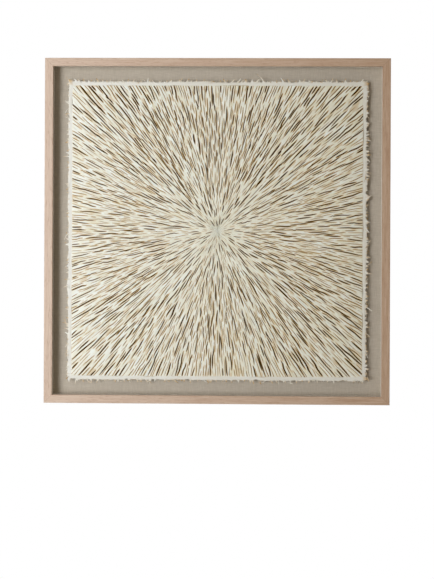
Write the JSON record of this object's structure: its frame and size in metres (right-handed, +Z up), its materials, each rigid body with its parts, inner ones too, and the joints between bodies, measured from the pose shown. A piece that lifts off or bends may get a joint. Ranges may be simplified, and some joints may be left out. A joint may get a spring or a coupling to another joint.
{
  "type": "framed paper wall art",
  "caption": "Square deep box frame of pale wood with a raised sunburst of cut cream paper strips floated over linen, hung from keyhole hangers on its back.",
  "frame": {"origin": "centre of the whole object's box", "axes": "+Z up as hung, +X to the viewer's right, front faces -Y and the wall is on +Y"},
  "size_m": [0.8, 0.048, 0.8],
  "materials": {
    "wood": "matt pale beech, fine straight grain",
    "spacer_cloth": "cloth-faced strip, matt",
    "linen": "plain-woven greige linen, matt",
    "card": "matt board",
    "cut_paper": "cream handmade paper with tan torn edges, matt",
    "torn_paper": "off-white handmade paper with a frayed edge, matt",
    "hardboard": "smooth brown hardboard, matt",
    "steel": "zinc-plated steel",
    "rubber": "soft matt rubber"
  },
  "bodies": {
    "root": {"frame_rail_bottom": "wood", "frame_rail_right": "wood", "frame_rail_top": "wood", "frame_rail_left": "wood", "spacer_bottom": "spacer_cloth", "spacer_right": "spacer_cloth", "spacer_top": "spacer_cloth", "spacer_left": "spacer_cloth", "linen_cloth": "linen", "mount_board": "card", "riser_board": "card", "paper_relief": "cut_paper", "base_sheet": "torn_paper", "border_strip_bottom": "torn_paper", "border_strip_right": "torn_paper", "border_strip_top": "torn_paper", "border_strip_left": "torn_paper", "back_panel": "hardboard", "corner_nails": "steel", "retaining_points": "steel", "hanger_left": "steel", "hanger_right": "steel", "hanger_screws": "steel", "bumper_left": "rubber", "bumper_right": "rubber"}
  },
  "joints": []
}
